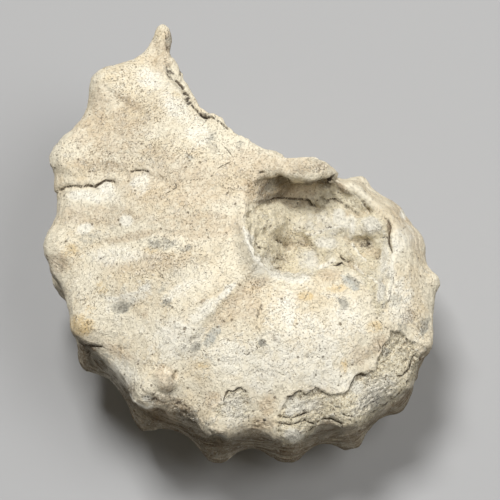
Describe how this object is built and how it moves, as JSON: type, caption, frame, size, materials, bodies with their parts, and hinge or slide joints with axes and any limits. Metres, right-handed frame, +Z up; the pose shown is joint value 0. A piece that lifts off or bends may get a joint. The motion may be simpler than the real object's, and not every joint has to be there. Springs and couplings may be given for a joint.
{
  "type": "ammonite fossil",
  "caption": "Worn limestone cast of a spiny, flat-coiled ammonite with ribs, two rows of knobs, a deep hollow at the centre and a broken mouth with a horn.",
  "frame": {"origin": "middle of the bounding box's footprint, on the surface that the fossil lies on", "axes": "+Z up, away from the surface; +Y along the longest span, towards the horn at the mouth; +X to the right seen from above"},
  "size_m": [0.045, 0.0592, 0.0278],
  "materials": {
    "limestone": "dry, dusty cream-beige limestone, finely pitted and speckled with grey, with chalky white patches and yellow-brown stains"
  },
  "bodies": {
    "root": {"ammonite": "limestone"}
  },
  "joints": []
}
